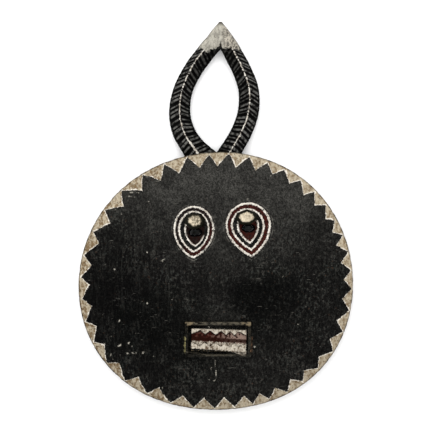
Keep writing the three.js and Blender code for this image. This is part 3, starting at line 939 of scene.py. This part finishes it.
def buildMask(materials):
    # each measure is a distance in millimetres or an amount, with the value that it has elsewhere
    shell = Shell({"inTooth": -12, "rimOff": 60, "eyeIn": -9, "knobIn": -9, "plateIn": -9, "rowIn": -9,
                   "frameIn": -9, "cut": 0, "capIn": -60, "spineOff": 30, "inner": 0, "scuff": 0, "dust": 0.1,
                   "holeIn": -9})
    addFront(shell)
    addBack(shell, addRim(shell))
    print("mask: horns")
    for which in (0, 1):
        x, y, z, measures = hornGrid(which)
        shell.addGrid(x, y, z, kinds["horns"], ends=True, **measures)
    mask = shell.meshObject("kpleMask", materials)
    print("mask:", len(mask.data.vertices), "points,", len(mask.data.polygons), "triangles")
    return mask


class Value:
    # a number or colour that changes over the surface, with sums and products made as shader nodes

    def __init__(self, socket):
        self.socket = socket
        self.tree = socket.id_data

    __add__ = lambda self, other: calc("ADD", self, other)
    __sub__ = lambda self, other: calc("SUBTRACT", self, other)
    __rsub__ = lambda self, other: calc("SUBTRACT", other, self)
    __mul__ = lambda self, other: calc("MULTIPLY", self, other)
    __rtruediv__ = lambda self, other: calc("DIVIDE", other, self)
    __abs__ = lambda self: calc("ABSOLUTE", self)


def fill(node, inputs):
    # a node's inputs, each linked to a value, or set to a paint or a constant
    for key, value in inputs.items():
        if isinstance(value, Value):
            value.tree.links.new(value.socket, node.inputs[key])
        else:
            node.inputs[key].default_value = paints[value] if isinstance(value, str) else value


def put(tree, kind, inputs, **settings):
    # a shader node with its settings and inputs
    node = tree.nodes.new(kind)
    for name, value in settings.items():
        setattr(node, name, value)
    fill(node, inputs)
    return node


def given(kind, inputs, output=0, **settings):
    # one output of a new node, in the tree that its inputs come from
    tree = next(value.tree for value in inputs.values() if isinstance(value, Value))
    return Value(put(tree, "ShaderNode" + kind, inputs, **settings).outputs[output])


def calc(operation, *values):
    return given("Math", dict(enumerate(values)), operation=operation)


def most(first, *others):
    # the largest of several values
    for other in others:
        first = calc("MAXIMUM", first, other)
    return first


def strip(value, centre, half):
    # how far a value lies inside a strip about its centre line
    return half - abs(value - centre)


def fade(value, low, high, toLow=0.0, toHigh=1.0):
    # smooth step from one level to another
    inputs = {"Value": value, "From Min": low, "From Max": high, "To Min": toLow, "To Max": toHigh}
    return given("MapRange", inputs, interpolation_type="SMOOTHSTEP")


def blend(amount, a, b, mode="MIX"):
    # two colours mixed
    return given("Mix", {0: amount, 6: a, 7: b}, 2, data_type="RGBA", blend_type=mode)


def level(amount, a, b):
    # two values mixed
    return given("Mix", {0: amount, 2: a, 3: b}, data_type="FLOAT")


def tinted(color, tone):
    # a colour made lighter or darker by a value
    if not isinstance(tone, Value):
        return blend(1.0, color, (tone, tone, tone, 1), "MULTIPLY")
    return blend(1.0, color, given("CombineColor", {0: tone, 1: tone, 2: tone}), "MULTIPLY")


def noise(spot, size, detail=3.0, rough=0.55, stretch=(1, 1, 1), turn=0.0):
    # cloudy noise whose lumps are about size millimetres
    scaled = given("Mapping", {"Vector": spot, "Scale": stretch, "Rotation": (0, 0, rad(turn))})
    inputs = {"Vector": scaled, "Scale": 1 / size, "Detail": detail, "Roughness": rough}
    return given("TexNoise", inputs, "Fac")


def openGroup(name, inputs):
    # a node group with named inputs: None is a vector, a number a float and four numbers a colour
    tree = bpy.data.node_groups.new(name, "ShaderNodeTree")
    for label, usual in inputs.items():
        kind = "Vector" if usual is None else "Color" if isinstance(usual, tuple) else "Float"
        socket = tree.interface.new_socket(name=label, in_out="INPUT", socket_type="NodeSocket" + kind)
        if usual is not None:
            socket.default_value = usual
    start = tree.nodes.new("NodeGroupInput").outputs
    return [Value(start[label]) for label in inputs]


def closeGroup(**values):
    # the group's named outputs, each linked to what it gives out
    tree = next(iter(values.values())).tree
    for label in values:
        kind = "NodeSocketColor" if label == "Color" else "NodeSocketFloat"
        tree.interface.new_socket(name=label, in_out="OUTPUT", socket_type=kind)
    fill(tree.nodes.new("NodeGroupOutput"), values)
    return tree


paints = {
    "black": (0.0012, 0.0012, 0.00115, 1),
    "fleck": (0.027, 0.0256, 0.0222, 1),
    "fleckGreen": (0.0185, 0.0215, 0.0195, 1),
    "fleckBrown": (0.042, 0.022, 0.013, 1),
    "dust": (0.0335, 0.0325, 0.0292, 1),
    "wood": (0.15, 0.10, 0.058, 1),
    "woodDark": (0.045, 0.030, 0.018, 1),
    "soot": (0.010, 0.008, 0.006, 1),
    "chalk": (0.376, 0.325, 0.240, 1),
    "chalkStain": (0.125, 0.085, 0.045, 1),
    "white": (0.72, 0.68, 0.61, 1),
    "red": (0.037, 0.0074, 0.0050, 1),
    "redDark": (0.011, 0.0028, 0.0015, 1),
    "redRubbed": (0.055, 0.031, 0.023, 1),
    "redWorn": (0.175, 0.120, 0.097, 1),
    "knob": (0.56, 0.485, 0.36, 1),
    "knobStainAndShade": (0.085, 0.073, 0.050, 1),
    "olive": (0.007, 0.007, 0.0045, 1),
    "scuff": (0.34, 0.318, 0.268, 1),
    "capPale": (0.37, 0.352, 0.30, 1),
    "capGrey": (0.36, 0.33, 0.275, 1),
    "capStain": (0.10, 0.092, 0.078, 1),
    "mouthWhite": (0.44, 0.40, 0.33, 1),
    "mouthStain": (0.090, 0.066, 0.045, 1),
    "frameGrey": (0.075, 0.066, 0.048, 1),
    "tan": (0.13, 0.102, 0.062, 1),
    "yellow": (0.15, 0.135, 0.062, 1),
    "rust": (0.085, 0.050, 0.030, 1),
    "ridge": (0.10, 0.095, 0.082, 1),
    "barb": (0.115, 0.113, 0.104, 1),
}


def edgeGroup():
    # paint edge: a measured distance made ragged by noise, then a soft step
    inputs = {"Spot": None, "Distance": 0.0, "Ragged": 0.5, "Soft": 0.25, "Size": 2.2}
    spot, distance, ragged, soft, size = openGroup("paintEdge", inputs)
    wobble = noise(spot, size, 4, 0.5) * 2.0 - 1.0
    return closeGroup(Mask=fade(distance + wobble * (ragged * 2.5), soft * -1.0, soft))


def blackGroup():
    # black pigment gone dull: pale flecks in patches, streaks along the grain, dust with painted sheen, and
    # thin scratches
    inputs = {"Spot": None, "Dust": 0.1, "Streak": 0.4, "Edge": 0.0}
    spot, dust, streaky, edge = openGroup("blackPigment", inputs)
    speck = noise(spot, 3.3, 5, 0.6, (1, 0.7, 1))
    streak = noise(spot, 2.9, 3, 0.45, (1, 0.09, 1))
    patch = fade(noise(spot, 26, 5, 0.6), 0.40, 0.62, 0.25, 1.1)
    pale = most(fade(speck, 0.47, 0.66), fade(streak, 0.50, 0.68) * streaky) * patch
    pale = pale * fade(dust, 0.0, 0.12, 0.35, 1.0)
    tinge = noise(spot, 5, 3, 0.6)
    fleck = blend(fade(tinge, 0.42, 0.60), "fleck", "fleckGreen")
    fleck = blend(fade(tinge, 0.60, 0.68), fleck, "fleckBrown")
    color = blend(pale * 0.85, "black", fleck)
    even = fade(patch * 0.07 + speck, 0.34, 0.76, 0.36, 1.04)
    smudge = fade(noise(spot, 34, 3, 0.55), 0.36, 0.64, 0.72, 1.28)
    # a pale layer of dust and painted sheen
    color = blend(even * smudge * dust, color, "dust")
    grain = noise(spot, 1.4, 1, 0.5, (1, 0.8, 1))
    color = tinted(color, fade(grain, 0.34, 0.66, 0.45, 1.5))
    scratches = 0.0
    for turn, shift in [(82, 3), (-38, 11), (20, 23)]:
        moved = given("VectorMath", {0: spot, 1: (shift, shift * 2, 0)}, operation="ADD")
        line = fade(noise(moved, 1.5, 2, 0.5, (0.06, 1, 1), turn), 0.69, 0.75)
        scratches = most(line * fade(noise(moved, 24, 2), 0.52, 0.62), scratches)
    color = blend(scratches * 0.6, color, "ridge")
    color = blend(fade(speck * 0.16 + edge, 0.17, 0.34, 0.0, 0.7), color, "tan")
    height = streak * 0.3 + speck * 0.4 - scratches * 0.15
    return closeGroup(Color=color, Roughness=pale * 0.2 + 0.55, Height=height)


def chalkGroup():
    # pale earth paint: thin and streaked along the grain, stained brown, with dark grains in its pores
    inputs = {"Spot": None, "Paint": (1, 1, 1, 1), "Stain": (1, 1, 1, 1), "Stained": 0.4}
    spot, paint, stain, stained = openGroup("chalkPaint", inputs)
    fine = noise(spot, 2.7, 4, 0.5)
    mixed = fine * 0.8 + noise(spot, 2.6, 4, 0.5, (1, 0.28, 1)) * 0.6 + noise(spot, 8, 4, 0.6) * 0.6
    color = blend(fade(mixed, 0.86, 1.18) * stained, paint, stain)
    pore = fade(noise(spot, 2.1, 3, 0.5), 0.60, 0.70, 0.0, 0.9)
    color = blend(pore * stained, color, "woodDark")
    color = tinted(color, fade(fine, 0.32, 0.68, 0.82, 1.16))
    return closeGroup(Color=color, Height=fine * 0.5 - pore * 0.6)


def woodGroup():
    # bare wood: long grain, darker soft bands, pores and grime
    spot, grime = openGroup("bareWood", {"Spot": None, "Grime": 0.5})
    band = noise(spot, 7, 4, 0.6, (1, 0.09, 1))
    pore = noise(spot, 1.3, 3, 0.6, (1, 0.06, 1))
    color = blend(fade(band, 0.35, 0.68), "wood", "woodDark")
    color = blend(fade(pore, 0.58, 0.70, 0, 0.6), color, "soot")
    color = blend(fade(noise(spot, 38, 4, 0.6), 0.35, 0.7) * grime, color, "soot")
    return closeGroup(Color=color, Height=band * 0.3 - pore * 0.3)


print("materials")
groups = {"edge": edgeGroup(), "black": blackGroup(), "chalk": chalkGroup(), "wood": woodGroup()}


class Finish:
    # one material being painted: the place on the object in millimetres, and the shared groups

    def __init__(self, name):
        self.material = bpy.data.materials.new(name)
        self.material.use_nodes = True
        self.tree = self.material.node_tree
        place = Value(self.tree.nodes.new("ShaderNodeTexCoord").outputs["Object"])
        self.spot = given("VectorMath", {0: place, "Scale": 1000.0}, operation="SCALE")
        axes = put(self.tree, "ShaderNodeSeparateXYZ", {0: self.spot}).outputs
        self.x, self.y, self.z = [Value(axis) for axis in axes]

    def measure(self, name):
        # a measure painted on the mesh
        node = put(self.tree, "ShaderNodeAttribute", {}, attribute_name=name, attribute_type="GEOMETRY")
        return Value(node.outputs["Fac"])

    def noise(self, *shape):
        return noise(self.spot, *shape)

    def use(self, group, **inputs):
        # a shared group's outputs by name
        node = put(self.tree, "ShaderNodeGroup", {"Spot": self.spot, **inputs}, node_tree=groups[group])
        return {output.name: Value(output) for output in node.outputs}

    def edged(self, distance, ragged, soft, size=2.2):
        return self.use("edge", Distance=distance, Ragged=ragged, Soft=soft, Size=size)["Mask"]

    def chalk(self, paint, stain, stained):
        return self.use("chalk", Paint=paint, Stain=stain, Stained=stained)

    def scuffed(self, color):
        # bare pale wood where a scuff has gone through the paint
        scuff = self.measure("scuff")
        bare = fade(self.noise(1.6, 2, 0.5) * 1.8 + scuff, 1.08, 1.95) * fade(scuff, 0.03, 0.2)
        return blend(bare, color, "scuff")

    def done(self, color, rough, height, bump=0.6, specular=0.015):
        relief = given("Bump", {"Height": height, "Strength": bump, "Distance": 0.001})
        inputs = {"Base Color": color, "Roughness": rough, "Normal": relief, "Specular IOR Level": specular}
        fill(self.tree.nodes["Principled BSDF"], inputs)
        return self.material


def faceMaterial():
    # black face, pale stained teeth with whiter lines along their cut edges, and a worn dark rim
    m = Finish("faceWood")
    streaky = most(fade(m.x, -30, -110, 0.25, 0.95), fade(m.y, -180, -205, 0.0, 0.8))
    black = m.use("black", Dust=m.measure("dust"), Streak=streaky, Edge=m.measure("edge"))
    # the teeth are browner on the left, and painted darker low down as shade
    chalk = m.chalk("chalk", "chalkStain", fade(m.x, -30, -150, 0.92, 1.22))
    earthShadedLow = tinted(chalk["Color"], fade(m.y, -60, -230, 1.0, 0.80))
    inTooth = m.measure("inTooth")
    tooth = m.edged(inTooth, 0.7, 0.25)
    line = m.edged(m.noise(7, 4, 0.6) * 8.0 - 3.3 - inTooth, 0.5, 0.3)
    pale = blend(line * 0.72, earthShadedLow, "white")
    # worn through to brown wood at one place low on the right of the rim
    hurt = given("VectorMath", {0: m.spot, 1: (172.8, -131.5, 24.0)}, "Value", operation="DISTANCE")
    pale = blend(m.edged(5.5 - hurt, 1.6, 0.6) * 0.9, pale, "woodDark")
    grimy = fade(m.noise(8, 3), 0.40, 0.60, 0.5, 0.95) * fade(m.measure("rimOff"), 2.1, 0.6)
    pale = blend(grimy, pale, "soot")
    color = m.scuffed(blend(tooth, black["Color"], pale))
    rubbed = fade(m.noise(12, 5, 0.7), 0.45, 0.62)
    side = blend(rubbed, black["Color"], m.use("wood", Grime=0.9)["Color"])
    color = blend(fade(m.z, 24.5, 21.5), color, side)
    height = level(tooth, black["Height"], chalk["Height"])
    return m.done(color, most(black["Roughness"], tooth * 0.8), height)


def eyeMaterial():
    # white lines on the three rings, red and black between them, a dark peg with a pale cut top
    m = Finish("eyeWood")
    eyeIn = m.measure("eyeIn")
    right = calc("GREATER_THAN", m.x, 7.0)
    # dust with painted sheen, thinner inside the eye
    dust = fade(eyeIn, 1.0, -1.0, 0.25, 1.0) * m.measure("dust")
    black = m.use("black", Dust=dust, Streak=0.2, Edge=0.0)
    # red runs all round the right eye, and only by the lower right of the left one
    share = most(right, fade(m.x - m.y * 1.1, 0, 22, 0.12, 0.85))
    band = fade(eyeIn, 2.2, 2.8) * fade(eyeIn, 7.4, 6.8) * share
    cup = fade(eyeIn, 15.0, 15.7) * level(right, 0.25, 0.9)
    worn = fade(m.noise(3.5, 4, 0.5), 0.36, 0.60, 0.3, 1.0)
    color = blend(most(band, cup) * worn, black["Color"], "red")
    # painted shadow under the peg: black round and inside the sight hole
    color = blend(m.edged(m.measure("holeIn"), 0.4, 0.6), color, "black")
    # the innermost line is there only below, and a little way up on the left
    upLeft = fade(m.x, -37, -40) * fade(m.y, -6, -14) * fade(m.y, -22, -25, 1.0, 0.4)
    third = most(fade(m.y, -26, -30), right * fade(m.y, 2, -5), upLeft)
    # a thin pale line runs just outside the eye, here and there: partly scuffed, partly a painted highlight
    # on the edge beyond the groove
    outer, middle, inner, scuffAndHighlight = [m.edged(strip(eyeIn, centre, half), 0.8, 0.22)
                                    for centre, half in [(1.3, 1.15), (7.9, 1.05), (14.5, 1.0), (-2.3, 0.45)]]
    lines = most(outer, middle, inner * third) * fade(m.noise(4.5, 4, 0.5), 0.34, 0.46, 0.2, 1.0)
    scuffAndHighlight = scuffAndHighlight * fade(m.noise(14, 3), 0.48, 0.60, 0.0, 0.6)
    color = blend(scuffAndHighlight, color, "ridge")
    chalk = m.chalk("white", "chalkStain", 0.6)
    color = blend(lines, color, chalk["Color"])
    knobIn = m.measure("knobIn")
    color = blend(fade(knobIn, -4.4, -3.8), color, "olive")
    peg = m.chalk("knob", "knobStainAndShade", level(right, 1.0, 0.6))
    # painted shade: the pale top darkens towards its edges, more on the left peg
    pegEdgeShade = fade(knobIn - m.noise(3.5, 3, 0.5) * 5.0, 0.0, -2.6) * level(right, 0.75, 0.4)
    top = m.edged(knobIn, 0.8, 0.5)
    color = blend(top, color, blend(pegEdgeShade, peg["Color"], "knobStainAndShade"))
    height = level(lines, black["Height"], chalk["Height"])
    return m.done(color, most(black["Roughness"], top * 0.75), height, 0.5)


def mouthMaterial():
    # black frame rubbed to the wood, white teeth, and a red band that is worn to pink towards the right
    m = Finish("mouthWood")
    frameIn = m.measure("frameIn")
    arris = m.measure("edge") * fade(m.y, -189, -187)
    black = m.use("black", Dust=m.measure("dust"), Streak=0.3, Edge=arris)
    rubbed = fade(m.noise(3.8, 4, 0.5, (0.6, 1, 1)), 0.38, 0.58)
    rubbed = rubbed * fade(frameIn, 0.1, 0.6) * fade(frameIn, 5.2, 4.4)
    # along the bottom a grey rub fades out to the right and climbs at the left
    rise = most(m.x * -0.15 - 1.8, 0.0)
    low = m.edged(strip(m.y - rise, -191.0, 0.9), 0.9, 0.5, 3.0) * fade(m.x, 32, 16, 0.1, 0.5)
    grey = most(rubbed * fade(m.y, -151, -148, 0.10, 0.8), low)
    color = blend(grey, black["Color"], "frameGrey")
    corner = fade(abs(m.x - 3.0), 30, 37) * fade(m.y, -153, -149)
    color = blend(rubbed * corner, color, "tan")
    # worn arrises: a yellowish one on the left of the frame, a brown one on the right
    thin = m.noise(3.5, 4, 0.5)
    beside = fade(m.y, -165, -168) * fade(m.y, -190, -187)
    left = m.edged(strip(m.x, -42.4, 1.1), 0.9, 0.5, 3.0) * beside
    color = blend(left * fade(thin, 0.3, 0.5), color, "yellow")
    right = m.edged(strip(m.x, 48.6, 1.6), 0.9, 0.5) * beside
    color = blend(right * fade(thin, 0.48, 0.62), color, "rust")
    # the painted plate: white above and below, red between, dark where the cuts are deepest
    slant = m.x * 0.055 + m.y
    rowIn = m.measure("rowIn")
    rightward = fade(m.x, -12, 30)
    wear = m.noise(4.0, 4, 0.5)
    red = blend(fade(wear, 0.42, 0.56), "redDark", "red")
    rubbedRed = blend(rightward, "redRubbed", "redWorn")
    red = blend(fade(rightward * 0.14 + wear, 0.52, 0.66), red, rubbedRed)
    red = blend(m.edged(strip(slant, -170.2, 2.3), 0.9, 0.7, 4.0) * 0.9, red, "redDark")
    chalk = m.chalk("mouthWhite", "mouthStain", fade(slant, -164, -172, 0.8, 1.05))
    teeth = most(m.edged(rowIn, 0.7, 0.3), m.edged(-173.6 - slant, 1.0, 0.5) * 0.85)
    clear = fade(slant, -171.5, -169.5, fade(wear, 0.46, 0.56, 0.15, 1.0), fade(wear, 0.36, 0.46, 0.2, 1.0))
    # a dark line along the foot of the teeth
    crease = m.edged(strip(rowIn, -0.5, 0.55), 0.8, 0.3) * clear
    painted = blend(crease, blend(teeth, red, chalk["Color"]), "soot")
    # the white paint stops short of the plate's lower left, and runs on over the lower right
    onPlate = m.edged(calc("MINIMUM", m.measure("plateIn"), m.x * 0.073 + m.y + 184.3), 0.7, 0.3)
    smear = m.edged(m.x * 0.33 + m.y + 179.6, 0.8, 0.5) * fade(m.x, 10, 22) * fade(m.x, 42, 40.5)
    smear = smear * fade(m.y, -183, -185) * fade(wear, 0.44, 0.60, 0.15, 0.75)
    color = m.scuffed(blend(smear, blend(onPlate, color, painted), chalk["Color"]))
    height = level(teeth, black["Height"], chalk["Height"])
    return m.done(color, most(black["Roughness"], teeth * 0.75), height)


def hornMaterial():
    # black barbs rubbed grey on their ridges, a thin white line on the crest, and a pale cap
    m = Finish("hornWood")
    black = m.use("black", Dust=0.0, Streak=0.1, Edge=0.0)
    ridge = fade(m.measure("cut"), 0.45, 0.0)
    inner = m.measure("inner")
    aside = abs(inner)
    rubAndShade = ridge * fade(m.noise(4.5, 4, 0.5), 0.38, 0.60, 0.1, 1.0) * fade(aside, 0.95, 0.72, 0.25, 1.0)
    # painted shade: the grey is held back on the inner sides higher up, where the horns face down into the
    # loop
    rubAndShade = rubAndShade * fade(inner, 0.15, -0.1, fade(m.y, 130, 225, 0.85, 0.3), 1.0) * fade(m.z, 12, 16, 0.0, 0.85)
    color = blend(rubAndShade, tinted(black["Color"], 0.45), "barb")
    # the line is widest by the left foot
    left = calc("LESS_THAN", m.x, 0.0)
    half = ridge * 0.25 + most(fade(m.y, 112, 96, 0.4, 1.2) * left, 0.4)
    spine = m.edged(half - m.measure("spineOff"), 1.1, 0.3, 3.0)
    spine = spine * fade(m.noise(6, 3, 0.5), 0.38, 0.60, 0.5, 0.85)
    color = blend(spine, color, m.chalk("white", "chalkStain", 0.7)["Color"])
    ground = blend(fade(m.x, 5, 15), "capPale", "capGrey")
    capPaint = m.chalk(ground, "capStain", fade(m.x, 5, 15, 0.65, 1.0))
    cap = m.edged(m.measure("capIn"), 2.2, 0.5, 3.0) * fade(m.z, 10.5, 12.5)
    # dirt along the outer edges and at the very tip, and a dark crack up from where the horns meet
    fleck = fade(m.noise(2.8, 2, 0.5), 0.56, 0.64) * fade(m.x, 6, 12, 0.12, 0.9) * fade(m.y, 258, 250)
    crack = m.edged(48.7 - (abs(m.x - m.y * 0.14 + 26.7) + m.y * 0.2), 0.5, 0.8)
    dirt = most(fade(aside, 0.84, 1.0, 0.0, 0.85), fleck, fade(m.y, 262, 268, 0.0, 0.8), crack)
    color = blend(cap, color, blend(dirt, capPaint["Color"], "soot"))
    height = level(cap, black["Height"], capPaint["Height"])
    return m.done(color, most(black["Roughness"], cap * 0.7), height)


def backMaterial():
    # bare, grimy wood inside the hollow and on the flat back of the rim
    m = Finish("backWood")
    wood = m.use("wood", Grime=0.75)
    return m.done(wood["Color"], 0.75, wood["Height"], specular=0.3)


mask = buildMask([faceMaterial(), eyeMaterial(), mouthMaterial(), hornMaterial(), backMaterial()])
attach(mask, "root")
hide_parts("mask")

stageShape = {
    "photoScale": 380 / 274,           # millimetres to a pixel of the 432 wide picture
    "photoMiddle": (216.4, 282.1),     # where the middle of the round face stands in it
    "lens": 170.0,
    "sensor": 36.0,
    "level": 26.0,                     # height that the scale holds for
    "worldLight": 1.45,
    "lightPlace": (-0.4, 1.8, 2.7),
    "lightSize": 3.0,
    "lightPower": 50.0,
}


def addStage():
    # camera straight above, pale floor, an even white surround, and one large soft light beyond the horns
    s = stageShape
    middle = placeInFrame(np.zeros((1, 3)))[0]
    scale = s["photoScale"] * 0.001
    aimX = middle[0] + (216 - s["photoMiddle"][0]) * scale
    aimY = middle[1] + (s["photoMiddle"][1] - 216) * scale
    distance = 432 * scale * s["lens"] / s["sensor"]
    camera = bpy.data.cameras.new("camera")
    camera.lens = s["lens"]
    camera.sensor_width = s["sensor"]
    camera.clip_end = 50
    holder = bpy.data.objects.new("camera", camera)
    holder.location = (aimX, aimY, distance + s["level"] * 0.001)
    bpy.context.collection.objects.link(holder)
    bpy.context.scene.camera = holder
    bpy.ops.mesh.primitive_plane_add(size=30, location=(0, 0, 0))
    floor = bpy.context.object
    floor.name = "floor"
    paper = bpy.data.materials.new("paper")
    paper.use_nodes = True
    shader = paper.node_tree.nodes["Principled BSDF"]
    shader.inputs["Base Color"].default_value = (0.95, 0.95, 0.95, 1)
    shader.inputs["Roughness"].default_value = 0.9
    floor.data.materials.append(paper)
    world = bpy.data.worlds.new("studio")
    world.use_nodes = True
    world.node_tree.nodes["Background"].inputs["Color"].default_value = (1, 1, 1, 1)
    world.node_tree.nodes["Background"].inputs["Strength"].default_value = s["worldLight"]
    bpy.context.scene.world = world
    light = bpy.data.lights.new("key", "AREA")
    light.size = s["lightSize"]
    light.energy = s["lightPower"]
    lamp = bpy.data.objects.new("key", light)
    lamp.location = s["lightPlace"]
    lamp.rotation_euler = (-Vector(s["lightPlace"])).to_track_quat("-Z", "Y").to_euler()
    bpy.context.collection.objects.link(lamp)
    bpy.context.scene.view_settings.view_transform = "Standard"


print("stage")
addStage()
